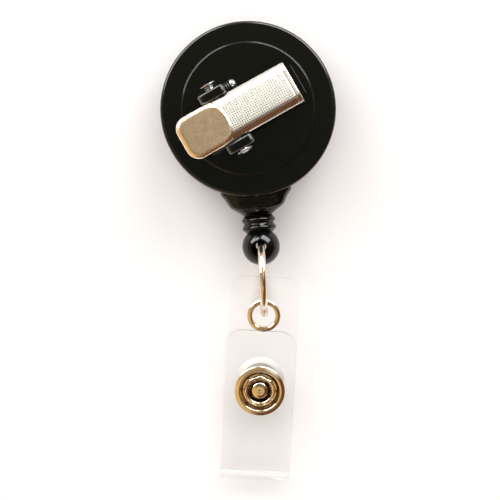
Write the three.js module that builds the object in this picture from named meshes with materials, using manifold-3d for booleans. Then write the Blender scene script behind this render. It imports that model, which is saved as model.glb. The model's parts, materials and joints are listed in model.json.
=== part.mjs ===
// Retractable badge reel with a swivel clip and a vinyl snap strap.
// Units are millimetres and +Z is up. The reel lies on its front face with the clip on top:
// the origin is on the spool's axis at the front face, and the cord leaves along -Y.

import * as THREE from 'three';
import { mergeVertices } from 'three/addons/utils/BufferGeometryUtils.js';
import Module from 'manifold-3d';

const wasm = await Module();
wasm.setup();

// ---- driving dimensions ----

// case
const CASE_RADIUS = 16;
const CASE_HEIGHT = 12;
const SEAM_Z = 6;
const WALL = 1.2;
const FLOOR = 1.5;
const RIM_ROUND = 0.6;
const BACK_LAND_RADIUS = 12.1;
const BACK_LAND_STEP = 0.6;
const FRONT_LAND_RADIUS = 12.6;
const FRONT_LAND_STEP = 0.5;
const FRONT_LAND_SLOPE = 0.3;
const CAVITY_RADIUS = CASE_RADIUS - WALL;
const CEILING_Z = CASE_HEIGHT - FLOOR;

// nozzle: distance from the spool's axis, and half width there
const NOZZLE_OUTLINE = [[12, 8.1], [15.2, 6.5], [16.2, 5.75], [17.65, 4.85], [18.45, 3.8], [19.15, 2.8]];
const NOZZLE_FLATNESS = 0.69;
const NOZZLE_START = 15.2;
const NOZZLE_END = 19.15;
// throat inside it: distance from the spool's axis, and radius there
const THROAT_OUTLINE = [[13, 3], [14.9, 3], [16.4, 1.5], [17.4, 1.0], [20.15, 1.0]];

// spool, spring and cord
const POST_RADIUS = 2.2;
const POST_TOP = 8.6;
const POST_SLIT = 0.6;
const GUIDE_INNER = 3.7;
const GUIDE_OUTER = 4.6;
const SPOOL_BORE = 2.4;
const SPOOL_RADIUS = 13.6;
const SPOOL_BOTTOM = 1.9;
const SPOOL_TOP = 8.0;
const SPOOL_PLAY = 0.3;
const GROOVE_BOTTOM = 5.9;
const GROOVE_TOP = 7.3;
const HUB_RADIUS = 8.2;
const CUP_INNER = 10.8;
const CUP_OUTER = 11.6;
const WEB_BOTTOM = 5.2;
const SPRING_BOTTOM = 2.1;
const SPRING_WIDTH = 2.9;
const SPRING_INNER = 2.9;
const SPRING_OUTER = 10.3;
const SPRING_TURNS = 6;
const SPRING_THICKNESS = 0.25;
const CORD_RADIUS = 0.4;
const WINDING_INNER = 8.35;
const WINDING_OUTER = 12.9;
const KNOT_RADIUS = 1.05;
const ANCHOR_DISTANCE = 7.1;
const ANCHOR_RADIUS = 0.6;
const CORD_PLAY = 0.1;
// the cord leaves the winding at a tangent and goes through the throat into the end fitting
const CORD_ROUTE = [
  [7.2, -11.3, 6.5], [4.8, -12.7, 6.4], [2.4, -14.4, 6.2], [0.8, -15.8, 6.05],
  [0.1, -17.2, 6.0], [0, -18.8, 6.0], [0, -20.4, 6.0],
];

// cord end fitting: distance from the spool's axis, and radius there, down to the ball
const FITTING_OUTLINE = [
  [19.35, 2.6], [19.7, 2.95], [20.05, 3.08], [20.4, 3.02], [20.8, 2.83],
  [21.15, 3.0], [21.55, 3.1], [21.9, 3.02], [22.3, 2.68], [22.6, 2.4],
];
const BALL_DISTANCE = 25.1;
const BALL_RADIUS = 3.46;
const HOLE_WAIST = 1.25;
const HOLE_WAIST_HALF = 1.2;
const HOLE_SHOULDER = 1.5;
const HOLE_MOUTH = 2.0;
const CORD_BORE = 0.6;
const POCKET_RADIUS = 1.35;
const POCKET_START = 20.4;
const POCKET_END = 22.9;

// link ring, standing on its edge
const RING_RADIUS = 6.375;
const RING_WIRE = 0.675;
const RING_FROM_BALL = 5.95;
const RING_LEAN = -2.8;

// strap: s runs from the fold towards the ring, h across the two layers
const STRAP_WIDTH = 12.7;
const STRAP_THICKNESS = 0.5;
const STRAP_CORNER = 3.0;
const FOLD_RADIUS = 1.65;
const FOLD_SPLIT = 0.1;
const BACK_LENGTH = 36.9;
const FLAP_LENGTH = 27.4;
const STRAP_TILT = 11.3;
const STRAP_LEAN = -8.55;
const EYELET_S = 29.65;
const EYELET_AT = [-0.705, -37.76];
const EYELET_HOLE = 2.05;
const EYELET_WALL = 0.3;
const EYELET_RIM = 2.95;
const EYELET_DROP = 0.35;
const SNAP_S = 16.3;
const SNAP_GAP = 0.08;

// snap pieces: radius, and height above the vinyl that they sit on (stud and knob: above the back layer)
const CAP_OUTLINE = [[0, 0.8], [1.6, 0.75], [3.2, 0.6], [4.2, 0.35], [4.5, 0.1], [4.4, 0], [1.1, 0]];
const CAP_SHANK_TOP = -0.35;
const STUD_OUTLINE = [
  [1.2, 0], [3.6, 0], [3.6, 0.3], [1.7, 0.45], [1.45, 1.07], [1.4, 2.17], [1.72, 2.57], [1.72, 2.97],
  [1.45, 3.42], [0.9, 3.57], [0.18, 3.57], [0.18, 3.17], [0.9, 3.07], [1.2, 2.67],
];
const SOCKET_OUTLINE = [
  [2.75, 0], [4.2, 0], [4.55, 0.3], [4.6, 0.75], [4.45, 1.15], [4.1, 1.3], [3.75, 1.1], [3.6, 0.6],
  [2.85, 0.55], [2.7, 1.0], [2.45, 1.1], [2.2, 0.95], [2.2, 0.45], [2.75, 0.35],
];
const SOCKET_EYELET_INNER = 2.35;
const SOCKET_EYELET_WALL = 0.3;
const SOCKET_EYELET_RIM = 3.8;
const SOCKET_EYELET_TOP = 1.95;
const SOCKET_SPRING_RADIUS = 2.1;
const SOCKET_SPRING_WIRE = 0.17;
const SOCKET_SPRING_H = 1.15;
const FLAP_HOLE = 2.95;
const BACK_HOLE = 1.4;

// clip: u runs from the thumb end to the jaw, w is the height over the back land
const CLIP_TURN = 24.5;
const BASE_GAP = 0.3;
const BASE_THICKNESS = 1.3;
const BASE_HALF_WIDTH = 2.95;
const BASE_START = -7.0;
const BASE_END = 10.5;
const JAW_START = 8.3;
const JAW_TOP = 2.3;
const HUB_DISC = 4.0;
const EAR_INNER = 4.5;
const EAR_OUTER = 6.05;
const EAR_HALF_LENGTH = 2.65;
const EAR_TOP = 5.7;
const EAR_CHAMFER = 1.0;
const PIN_U = -4.36;
const PIN_W = 4.0;
const PIN_RADIUS = 0.8;
const PIN_PLAY = 0.15;
// pin ends: distance out from the clip's middle, and radius
const PIN_DOME = [[7.0, 0], [6.9, 0.9], [6.6, 1.45], [6.35, 1.6], [6.35, PIN_RADIUS]];
const PIN_FLARE = [[6.85, PIN_RADIUS], [6.95, 1.5], [7.15, 1.5], [7.15, 0]];
const LUG_U = -0.7;
const LUG_W = 1.4;
const LUG_RADIUS = 1.05;
const LUG_START = 3.0;
const LEVER_HALF_WIDTH = 4.1;
const SHEET = 0.55;
const THUMB_U = -13.5;
const LIP_U = 9.45;
const THUMB_CORNER = 2.4;
const RIVET_RADIUS = 1.4;
const RIVET_PLAY = 0.2;
const RIVET_TAIL = 2.2;
const RIVET_HEAD = [[2.4, 0.1], [2.0, 0.5], [0, 0.7]];
const RIVET_WASHER = 3.1;

// lever's top face, and the lower edge of its side flanges: u and w
const LEVER_LINE = [[THUMB_U, 6.9], [-6.2, 6.5], [-4.0, 6.15], [8.9, 3.25], [LIP_U, 2.95]];
const FLANGE_LINE = [
  [THUMB_U, 6.0], [-9.5, 5.4], [-6.6, 3.2], [-5.6, 2.8], [-2.9, 2.8], [-1.6, 3.3], [2, 3.2], [8.4, 2.2],
];
const LIP_FOOT = 2.4;
const LIP_BEND = 8.9;

// torsion spring of the clip
const COIL_TURNS = 4;
const COIL_RADIUS = 1.35;
const COIL_PITCH = 0.62;
const COIL_WIRE = 0.22;
const COIL_FOOT = [-2.5, -1.95];
const COIL_ARM = [[-2.4, 0.6], [-5.2, 1.6]];

const CIRCLE_STEPS = 48;
const SMALL_STEPS = 24;
const RING_STEPS = 28;

// ---- materials ----

function material(color, roughness, metalness) {
  return new THREE.MeshStandardMaterial({ color, roughness, metalness });
}

const blackGloss = material(0x0c0d0e, 0.28, 0);
const blackSatin = material(0x121314, 0.45, 0);
const nickel = material(0xd6cfc2, 0.28, 1);
const nickelBright = material(0xd9c9ae, 0.12, 1);
const springSteel = material(0x8c8f94, 0.3, 1);
const nylonCord = material(0x151515, 0.8, 0);
const clearVinyl = material(0xe9ebec, 0.12, 0);
const whiteAcetal = material(0xd8d8d4, 0.5, 0);

// ---- geometry helpers ----

const radians = THREE.MathUtils.degToRad;

function signedVolume(geometry) {
  const p = geometry.attributes.position;
  const index = geometry.index.array;
  const a = new THREE.Vector3();
  const b = new THREE.Vector3();
  const c = new THREE.Vector3();
  let sum = 0;
  for (let i = 0; i < index.length; i += 3) {
    a.fromBufferAttribute(p, index[i]);
    b.fromBufferAttribute(p, index[i + 1]);
    c.fromBufferAttribute(p, index[i + 2]);
    sum += a.dot(b.cross(c));
  }
  return sum / 6;
}

// A closed body with shared vertices and its faces pointing out.
function closed(geometry) {
  const bare = geometry.clone();
  bare.deleteAttribute('normal');
  bare.deleteAttribute('uv');
  const merged = mergeVertices(bare, 1e-4);
  if (signedVolume(merged) < 0) {
    merged.index.array.reverse();
  }
  return merged;
}

function solid(geometry) {
  const body = closed(geometry);
  const vertProperties = new Float32Array(body.attributes.position.array);
  const triVerts = new Uint32Array(body.index.array);
  return new wasm.Manifold(new wasm.Mesh({ numProp: 3, vertProperties, triVerts }));
}

function geometryOf(manifold) {
  const mesh = manifold.getMesh();
  const geometry = new THREE.BufferGeometry();
  geometry.setAttribute('position', new THREE.BufferAttribute(mesh.vertProperties, 3));
  geometry.setIndex(new THREE.BufferAttribute(mesh.triVerts, 1));
  return geometry;
}

function join(...geometries) {
  const bodies = geometries.map(solid);
  return geometryOf(bodies.reduce((whole, next) => whole.add(next)));
}

function cut(geometry, ...tools) {
  return geometryOf(tools.map(solid).reduce((whole, next) => whole.subtract(next), solid(geometry)));
}

function overlap(geometry, other) {
  return geometryOf(solid(geometry).intersect(solid(other)));
}

// A body of revolution about Z from a closed outline of [radius, z] points.
function turned(outline, steps = CIRCLE_STEPS) {
  const points = outline.map(([r, z]) => new THREE.Vector2(r, z));
  const onAxis = points[0].x === 0 && points[points.length - 1].x === 0;
  if (!onAxis) {
    points.push(points[0].clone());
  }
  return new THREE.LatheGeometry(points, steps).rotateX(Math.PI / 2);
}

// A body of revolution about the line along -Y through a height z.
function turnedAlongCord(outline, z, steps = CIRCLE_STEPS) {
  return turned(outline, steps).rotateX(Math.PI / 2).translate(0, 0, z);
}

function box(x0, x1, y0, y1, z0, z1) {
  const geometry = new THREE.BoxGeometry(x1 - x0, y1 - y0, z1 - z0);
  return geometry.translate((x0 + x1) / 2, (y0 + y1) / 2, (z0 + z1) / 2);
}

// A round bar along Z.
function bar(radius, z0, z1, steps = SMALL_STEPS) {
  return turned([[0, z0], [radius, z0], [radius, z1], [0, z1]], steps);
}

// A flat washer about Z.
function washer(inner, outer, z0, z1, steps = SMALL_STEPS) {
  return turned([[inner, z0], [outer, z0], [outer, z1], [inner, z1]], steps);
}

function prism(shape, depth, curveSegments = 8) {
  return new THREE.ExtrudeGeometry(shape, { depth, bevelEnabled: false, curveSegments });
}

function tube(path, radius, steps, sides = 8) {
  const section = new THREE.Shape();
  for (let i = 0; i < sides; i += 1) {
    const angle = (i / sides) * 2 * Math.PI;
    const place = [radius * Math.cos(angle), radius * Math.sin(angle)];
    if (i === 0) {
      section.moveTo(...place);
    } else {
      section.lineTo(...place);
    }
  }
  return new THREE.ExtrudeGeometry(section, { steps, extrudePath: path, bevelEnabled: false });
}

// A plate outline from y0 to y1 with round corners at its y1 end.
function tabShape(width, y0, y1, corner) {
  const half = width / 2;
  const shape = new THREE.Shape();
  shape.moveTo(-half, y0);
  shape.lineTo(half, y0);
  shape.lineTo(half, y1 - corner);
  shape.absarc(half - corner, y1 - corner, corner, 0, Math.PI / 2, false);
  shape.lineTo(corner - half, y1);
  shape.absarc(corner - half, y1 - corner, corner, Math.PI / 2, Math.PI, false);
  shape.closePath();
  return shape;
}

function roundHole(shape, x, y, radius) {
  const hole = new THREE.Path();
  hole.absarc(x, y, radius, 0, 2 * Math.PI, true);
  shape.holes.push(hole);
}

function part(parent, name, geometry, look) {
  const mesh = new THREE.Mesh(closed(geometry), look);
  mesh.name = name;
  parent.add(mesh);
  return mesh;
}

// ---- case ----

function nozzleOutside() {
  const outline = [[0, NOZZLE_OUTLINE[0][0]], ...NOZZLE_OUTLINE.map(([d, a]) => [a, d]), [0, NOZZLE_END]];
  const geometry = turned(outline).rotateX(Math.PI / 2);
  const p = geometry.attributes.position;
  for (let i = 0; i < p.count; i += 1) {
    const along = (-p.getY(i) - NOZZLE_START) / (NOZZLE_END - NOZZLE_START);
    p.setZ(i, p.getZ(i) * (NOZZLE_FLATNESS + (1 - NOZZLE_FLATNESS) * along));
  }
  return cut(geometry.translate(0, 0, SEAM_Z), bar(CAVITY_RADIUS + 0.1, 0, CASE_HEIGHT, CIRCLE_STEPS));
}

function throat() {
  const first = THROAT_OUTLINE[0][0];
  const last = THROAT_OUTLINE[THROAT_OUTLINE.length - 1][0];
  const outline = [[0, first], ...THROAT_OUTLINE.map(([d, r]) => [r, d]), [0, last]];
  return turnedAlongCord(outline, SEAM_Z, SMALL_STEPS);
}

function halfSpace(z0, z1) {
  return box(-30, 30, -30, 30, z0, z1);
}

// The quarter circle of a case rim, from the flat face out to the side wall.
function rimRound(z, direction) {
  const points = [];
  for (const degrees of [0, 30, 60, 90]) {
    const angle = radians(degrees);
    const r = CASE_RADIUS - RIM_ROUND * (1 - Math.sin(angle));
    points.push([r, z + direction * RIM_ROUND * (1 - Math.cos(angle))]);
  }
  return points;
}

function frontShell() {
  const cup = turned([
    [0, 0], [FRONT_LAND_RADIUS, 0], [FRONT_LAND_RADIUS + FRONT_LAND_SLOPE, FRONT_LAND_STEP],
    ...rimRound(FRONT_LAND_STEP, 1),
    [CASE_RADIUS, SEAM_Z], [CAVITY_RADIUS, SEAM_Z], [CAVITY_RADIUS, FLOOR],
    [POST_RADIUS, FLOOR], [POST_RADIUS, POST_TOP], [0, POST_TOP],
  ]);
  const slit = box(-POST_SLIT / 2, POST_SLIT / 2, 0, POST_RADIUS + 1, FLOOR + SPOOL_PLAY, WEB_BOTTOM);
  const nozzle = overlap(nozzleOutside(), halfSpace(0, SEAM_Z));
  return cut(join(cup, nozzle), throat(), slit);
}

function backShell() {
  const rimZ = CASE_HEIGHT - BACK_LAND_STEP;
  const hole = RIVET_RADIUS + RIVET_PLAY;
  const guideEnd = SPOOL_TOP + SPOOL_PLAY;
  const cup = turned([
    [hole, CASE_HEIGHT], [BACK_LAND_RADIUS, CASE_HEIGHT], [BACK_LAND_RADIUS, rimZ],
    ...rimRound(rimZ, -1),
    [CASE_RADIUS, SEAM_Z], [CAVITY_RADIUS, SEAM_Z], [CAVITY_RADIUS, CEILING_Z],
    [GUIDE_OUTER, CEILING_Z], [GUIDE_OUTER, guideEnd], [GUIDE_INNER, guideEnd], [GUIDE_INNER, CEILING_Z],
    [hole, CEILING_Z],
  ]);
  const nozzle = overlap(nozzleOutside(), halfSpace(SEAM_Z, CASE_HEIGHT));
  return cut(join(cup, nozzle), throat());
}

// ---- spool, power spring and cord ----

function spool() {
  const drum = turned([
    [SPOOL_BORE, WEB_BOTTOM], [CUP_INNER, WEB_BOTTOM], [CUP_INNER, SPOOL_BOTTOM],
    [CUP_OUTER, SPOOL_BOTTOM], [CUP_OUTER, WEB_BOTTOM], [SPOOL_RADIUS, WEB_BOTTOM],
    [SPOOL_RADIUS, GROOVE_BOTTOM], [HUB_RADIUS, GROOVE_BOTTOM], [HUB_RADIUS, GROOVE_TOP],
    [SPOOL_RADIUS, GROOVE_TOP], [SPOOL_RADIUS, SPOOL_TOP], [SPOOL_BORE, SPOOL_TOP],
  ]);
  const pocket = bar(ANCHOR_RADIUS + SPOOL_PLAY, GROOVE_BOTTOM, GROOVE_TOP, 16);
  pocket.translate(ANCHOR_DISTANCE, 0, 0);
  const half = CORD_RADIUS + CORD_PLAY;
  const slot = box(ANCHOR_DISTANCE, HUB_RADIUS + half, -half, half, GROOVE_BOTTOM, GROOVE_TOP);
  return cut(drum, pocket, slot);
}

// A flat spiral strip that winds from the post out to the spool's cup.
function powerSpring() {
  const shape = new THREE.Shape();
  const perTurn = 20;
  const count = SPRING_TURNS * perTurn;
  const place = (i, side) => {
    const angle = (i / perTurn) * 2 * Math.PI;
    const r = SPRING_INNER + ((SPRING_OUTER - SPRING_INNER) * i) / count + (side * SPRING_THICKNESS) / 2;
    return [r * Math.cos(angle), r * Math.sin(angle)];
  };
  shape.moveTo(...place(0, 1));
  for (let i = 1; i <= count; i += 1) {
    shape.lineTo(...place(i, 1));
  }
  for (let i = count; i >= 0; i -= 1) {
    shape.lineTo(...place(i, -1));
  }
  return prism(shape, SPRING_WIDTH).translate(0, 0, SPRING_BOTTOM);
}

function cordWinding() {
  const low = GROOVE_BOTTOM + CORD_PLAY;
  return washer(WINDING_INNER, WINDING_OUTER, low, GROOVE_TOP - CORD_PLAY, CIRCLE_STEPS);
}

function cordRun() {
  const route = CORD_ROUTE.map(([x, y, z]) => new THREE.Vector3(x, y, z));
  return tube(new THREE.CatmullRomCurve3(route), CORD_RADIUS, 18);
}

// ---- cord end fitting ----

// The ring's hole: a round waist that opens to a bell mouth at both faces of the ball.
function fittingHole() {
  const mouth = Math.sqrt(BALL_RADIUS ** 2 - HOLE_MOUTH ** 2);
  const past = BALL_RADIUS + 1;
  const shoulder = (HOLE_WAIST_HALF + mouth) / 2 + (HOLE_SHOULDER - HOLE_WAIST);
  const side = [
    [HOLE_WAIST, HOLE_WAIST_HALF], [HOLE_SHOULDER, shoulder], [HOLE_MOUTH, mouth], [HOLE_MOUTH, past],
  ];
  const lower = side.map(([r, z]) => [r, -z]).reverse();
  const outline = [[0, -past], ...lower, ...side, [0, past]];
  return turned(outline, SMALL_STEPS).translate(0, -BALL_DISTANCE, SEAM_Z);
}

function fitting() {
  const neck = FITTING_OUTLINE.map(([d, r]) => [r, d]);
  const ball = [];
  const start = Math.asin(FITTING_OUTLINE[FITTING_OUTLINE.length - 1][1] / BALL_RADIUS);
  const count = 9;
  for (let i = 1; i < count; i += 1) {
    const angle = start + ((Math.PI - start) * i) / count;
    ball.push([BALL_RADIUS * Math.sin(angle), BALL_DISTANCE - BALL_RADIUS * Math.cos(angle)]);
  }
  const top = FITTING_OUTLINE[0][0];
  const outline = [[0, top], ...neck, ...ball, [0, BALL_DISTANCE + BALL_RADIUS]];
  const body = turnedAlongCord(outline, SEAM_Z, 30);
  const bore = turnedAlongCord([
    [0, top - 1], [CORD_BORE, top - 1], [CORD_BORE, POCKET_START], [POCKET_RADIUS, POCKET_START + 0.4],
    [POCKET_RADIUS, POCKET_END], [0, POCKET_END],
  ], SEAM_Z, 16);
  return cut(body, bore, fittingHole());
}

function endKnot() {
  const middle = -(POCKET_START + POCKET_END) / 2;
  return new THREE.SphereGeometry(KNOT_RADIUS, 12, 8).scale(1, 0.95, 1).translate(0, middle, SEAM_Z);
}

// ---- strap, eyelet and snap ----

// The part of the fold between two angles about its centreline: PI is its outermost line.
function foldPart(from, to) {
  const bend = new THREE.Shape();
  bend.absarc(0, 0, FOLD_RADIUS, from, to, false);
  bend.absarc(0, 0, FOLD_RADIUS - STRAP_THICKNESS, to, from, true);
  const half = prism(bend, STRAP_WIDTH, 6);
  return half.rotateY(Math.PI / 2).rotateX(Math.PI / 2).translate(-STRAP_WIDTH / 2, 0, 0);
}

function strapBack() {
  const shape = tabShape(STRAP_WIDTH, 0, BACK_LENGTH, STRAP_CORNER);
  roundHole(shape, 0, EYELET_S, EYELET_HOLE + 2 * EYELET_WALL);
  roundHole(shape, 0, SNAP_S, BACK_HOLE);
  const plate = prism(shape, STRAP_THICKNESS, 12).translate(0, 0, -FOLD_RADIUS);
  return join(plate, foldPart(Math.PI + FOLD_SPLIT, 1.5 * Math.PI));
}

function strapFlap() {
  const shape = tabShape(STRAP_WIDTH, 0, FLAP_LENGTH, STRAP_CORNER);
  roundHole(shape, 0, SNAP_S, FLAP_HOLE);
  const plate = prism(shape, STRAP_THICKNESS, 12).translate(0, 0, FOLD_RADIUS - STRAP_THICKNESS);
  return join(plate, foldPart(Math.PI / 2, Math.PI - FOLD_SPLIT));
}

// A barrel through the back layer with a rounded rim on top.
function eyelet() {
  const low = -FOLD_RADIUS - EYELET_DROP;
  const seat = STRAP_THICKNESS - FOLD_RADIUS + SNAP_GAP;
  const outside = EYELET_HOLE + EYELET_WALL;
  return turned([
    [EYELET_HOLE, low], [outside, low], [outside, seat], [EYELET_RIM, seat],
    [EYELET_RIM - 0.15, seat + 0.27], [EYELET_HOLE + 0.2, seat + 0.37], [EYELET_HOLE, seat + 0.22],
  ], RING_STEPS);
}

function eyeletWasher() {
  const low = -FOLD_RADIUS - EYELET_DROP;
  const inner = EYELET_HOLE + EYELET_WALL + SNAP_GAP;
  return washer(inner, EYELET_RIM, low, low + EYELET_DROP - SNAP_GAP, RING_STEPS);
}

// An outline of [radius, height] points, moved up to its seat.
function raised(outline, seat, direction = 1) {
  return outline.map(([r, h]) => [r, seat + direction * h]);
}

function snapCap() {
  const skin = raised(CAP_OUTLINE, -FOLD_RADIUS - SNAP_GAP, -1);
  const shank = skin[skin.length - 1][0];
  return turned([...skin, [shank, CAP_SHANK_TOP], [0, CAP_SHANK_TOP]], RING_STEPS);
}

function snapStud() {
  return turned(raised(STUD_OUTLINE, STRAP_THICKNESS - FOLD_RADIUS + SNAP_GAP), RING_STEPS);
}

function socketEyelet() {
  const under = FOLD_RADIUS - STRAP_THICKNESS - SNAP_GAP;
  const inner = SOCKET_EYELET_INNER;
  const outer = inner + SOCKET_EYELET_WALL;
  return turned([
    [inner, under - 0.3], [SOCKET_EYELET_RIM, under - 0.3], [SOCKET_EYELET_RIM, under], [outer, under],
    [outer, SOCKET_EYELET_TOP], [inner, SOCKET_EYELET_TOP],
  ], RING_STEPS);
}

// A split ring that grips the stud's knob.
function socketSpring() {
  const ring = new THREE.TorusGeometry(SOCKET_SPRING_RADIUS, SOCKET_SPRING_WIRE, 6, SMALL_STEPS);
  return cut(ring, box(-0.4, 0.4, 1, 3, -1, 1)).translate(0, 0, SOCKET_SPRING_H);
}

function snapSocket() {
  return turned(raised(SOCKET_OUTLINE, FOLD_RADIUS + SNAP_GAP), 32);
}

function strapGroup() {
  const lean = radians(STRAP_LEAN);
  const tilt = radians(STRAP_TILT);
  const run = EYELET_S * Math.cos(tilt) + (FOLD_RADIUS - STRAP_THICKNESS / 2) * Math.sin(tilt);
  const outer = new THREE.Group();
  outer.position.set(
    EYELET_AT[0] + run * Math.sin(lean),
    EYELET_AT[1] - run * Math.cos(lean),
    FOLD_RADIUS,
  );
  outer.rotation.z = lean;
  const inner = new THREE.Group();
  inner.rotation.x = tilt;
  outer.add(inner);
  part(inner, 'strap_back', strapBack(), clearVinyl);
  part(inner, 'strap_flap', strapFlap(), clearVinyl);
  const pieces = [
    ['strap_eyelet', eyelet(), EYELET_S],
    ['eyelet_washer', eyeletWasher(), EYELET_S],
    ['snap_cap', snapCap(), SNAP_S],
    ['snap_stud', snapStud(), SNAP_S],
    ['socket_eyelet', socketEyelet(), SNAP_S],
    ['socket_spring', socketSpring(), SNAP_S],
    ['snap_socket', snapSocket(), SNAP_S],
  ];
  for (const [name, geometry, s] of pieces) {
    part(inner, name, geometry, nickelBright).position.y = s;
  }
  return outer;
}

// ---- swivel clip ----

// A slice across the clip, drawn in u and w and spread from v0 to v1.
function slice(shape, v0, v1, curveSegments = 8) {
  return prism(shape, v1 - v0, curveSegments).rotateX(Math.PI / 2).translate(0, v1, 0);
}

function polygon(points) {
  return new THREE.Shape(points.map(([x, y]) => new THREE.Vector2(x, y)));
}

function pinHole() {
  const half = EAR_OUTER + 1;
  return bar(PIN_RADIUS + PIN_PLAY, -half, half).rotateX(Math.PI / 2).translate(PIN_U, 0, PIN_W);
}

function swivelBase() {
  const top = BASE_GAP + BASE_THICKNESS;
  const low = BASE_GAP;
  const spine = slice(polygon([
    [BASE_START, low], [BASE_END - 0.4, low], [BASE_END, low + 0.4], [BASE_END, JAW_TOP - 0.5],
    [BASE_END - 0.5, JAW_TOP], [JAW_START + 0.4, JAW_TOP], [JAW_START, top], [BASE_START, top],
  ]), -BASE_HALF_WIDTH, BASE_HALF_WIDTH);
  const hub = bar(HUB_DISC, low, top, 40);
  const bridge = box(PIN_U - EAR_HALF_LENGTH, PIN_U + EAR_HALF_LENGTH, -EAR_OUTER, EAR_OUTER, low, top);
  const earShape = polygon([
    [PIN_U - EAR_HALF_LENGTH, low], [PIN_U + EAR_HALF_LENGTH, low],
    [PIN_U + EAR_HALF_LENGTH, EAR_TOP - EAR_CHAMFER], [PIN_U + EAR_HALF_LENGTH - EAR_CHAMFER, EAR_TOP],
    [PIN_U - EAR_HALF_LENGTH + EAR_CHAMFER, EAR_TOP], [PIN_U - EAR_HALF_LENGTH, EAR_TOP - EAR_CHAMFER],
  ]);
  const leftEar = slice(earShape, EAR_INNER, EAR_OUTER);
  const rightEar = slice(earShape, -EAR_OUTER, -EAR_INNER);
  const lug = bar(LUG_RADIUS, LUG_START, EAR_OUTER, 20).rotateX(-Math.PI / 2).translate(LUG_U, 0, LUG_W);
  const rivetHole = bar(RIVET_RADIUS + RIVET_PLAY, low - 1, top + 1);
  return cut(join(spine, hub, bridge, leftEar, rightEar, lug), pinHole(), rivetHole);
}

function leverPlan() {
  const half = LEVER_HALF_WIDTH;
  const shape = new THREE.Shape();
  shape.moveTo(LIP_U, -half);
  shape.lineTo(LIP_U, half);
  shape.lineTo(THUMB_U + THUMB_CORNER, half);
  const centre = THUMB_U + THUMB_CORNER;
  shape.absarc(centre, half - THUMB_CORNER, THUMB_CORNER, Math.PI / 2, Math.PI, false);
  shape.absarc(centre, THUMB_CORNER - half, THUMB_CORNER, Math.PI, (3 * Math.PI) / 2, false);
  shape.closePath();
  return prism(shape, LEVER_LINE[0][1] + 1);
}

// A pressed tray: one bent sheet whose sides turn down, with pin holes in its flanges.
function clipLever() {
  const foot = [[LIP_U, LIP_FOOT], [LIP_BEND, LIP_FOOT]];
  const outside = [...LEVER_LINE, ...foot, ...[...FLANGE_LINE].reverse()];
  const skin = LEVER_LINE.slice(0, -1).map(([u, w]) => [Math.max(u, THUMB_U + SHEET), w - SHEET]);
  const hollow = [...skin, [LIP_BEND, -1], [THUMB_U + SHEET, -1]];
  const block = overlap(slice(polygon(outside), -LEVER_HALF_WIDTH, LEVER_HALF_WIDTH), leverPlan());
  const inner = LEVER_HALF_WIDTH - SHEET;
  return cut(block, slice(polygon(hollow), -inner, inner), pinHole());
}

function hingePin() {
  const dome = PIN_DOME.map(([v, r]) => [r, -v]);
  const flare = PIN_FLARE.map(([v, r]) => [r, v]);
  return turned([...dome, ...flare], SMALL_STEPS).rotateX(-Math.PI / 2).translate(PIN_U, 0, PIN_W);
}

// Torsion spring: a coil round the pin, one leg on the base and one under the thumb pad.
function clipSpring() {
  const perTurn = 10;
  const startV = (-COIL_TURNS * COIL_PITCH) / 2;
  const point = (u, v, w) => new THREE.Vector3(PIN_U + u, v, PIN_W + w);
  const points = [point(COIL_FOOT[0], startV, COIL_FOOT[1])];
  for (let i = 0; i < COIL_TURNS * perTurn; i += 1) {
    const angle = -Math.PI / 2 + (i / perTurn) * 2 * Math.PI;
    const v = startV + (i / perTurn) * COIL_PITCH;
    points.push(point(COIL_RADIUS * Math.cos(angle), v, COIL_RADIUS * Math.sin(angle)));
  }
  for (const [u, w] of COIL_ARM) {
    points.push(point(u, -startV, w));
  }
  return tube(new THREE.CatmullRomCurve3(points), COIL_WIRE, 70, 6);
}

// The rivet holds the base to the case's back, with a spring washer under its tail.
function swivelRivet() {
  const baseTop = BASE_GAP + BASE_THICKNESS;
  const tail = CEILING_Z - CASE_HEIGHT - 0.8;
  return turned([
    [0, tail - 0.4], [RIVET_TAIL, tail - 0.4], [RIVET_TAIL, tail], [RIVET_RADIUS, tail],
    [RIVET_RADIUS, baseTop + RIVET_HEAD[0][1]], ...raised(RIVET_HEAD, baseTop),
  ], SMALL_STEPS);
}

function rivetWasher() {
  const top = CEILING_Z - CASE_HEIGHT - 0.2;
  return washer(RIVET_RADIUS + RIVET_PLAY, RIVET_WASHER, top - 0.4, top);
}

function clipGroup() {
  const group = new THREE.Group();
  group.position.z = CASE_HEIGHT;
  group.rotation.z = radians(CLIP_TURN);
  part(group, 'swivel_base', swivelBase(), blackGloss);
  part(group, 'swivel_rivet', swivelRivet(), nickel);
  part(group, 'rivet_washer', rivetWasher(), springSteel);
  part(group, 'clip_lever', clipLever(), nickel);
  part(group, 'hinge_pin', hingePin(), nickel);
  part(group, 'clip_spring', clipSpring(), springSteel);
  return group;
}

// ---- assembly ----

const reel = new THREE.Group();

part(reel, 'front_shell', frontShell(), blackGloss);
part(reel, 'back_shell', backShell(), blackGloss);
part(reel, 'spool', spool(), whiteAcetal);
part(reel, 'power_spring', powerSpring(), springSteel);
part(reel, 'cord_winding', cordWinding(), nylonCord);
const anchor = part(reel, 'cord_anchor_knot', new THREE.SphereGeometry(ANCHOR_RADIUS, 8, 6), nylonCord);
anchor.position.set(ANCHOR_DISTANCE, 0, (GROOVE_BOTTOM + GROOVE_TOP) / 2);
part(reel, 'cord_run', cordRun(), nylonCord);
part(reel, 'cord_end_fitting', fitting(), blackSatin);
part(reel, 'cord_end_knot', endKnot(), nylonCord);

const ringTurn = new THREE.Group();
ringTurn.position.set(0, -BALL_DISTANCE, RING_RADIUS + RING_WIRE);
ringTurn.rotation.z = radians(RING_LEAN);
const ring = part(
  ringTurn,
  'link_ring',
  new THREE.TorusGeometry(RING_RADIUS, RING_WIRE, 10, 44).rotateY(Math.PI / 2),
  nickelBright,
);
ring.position.y = -RING_FROM_BALL;
reel.add(ringTurn);

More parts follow.
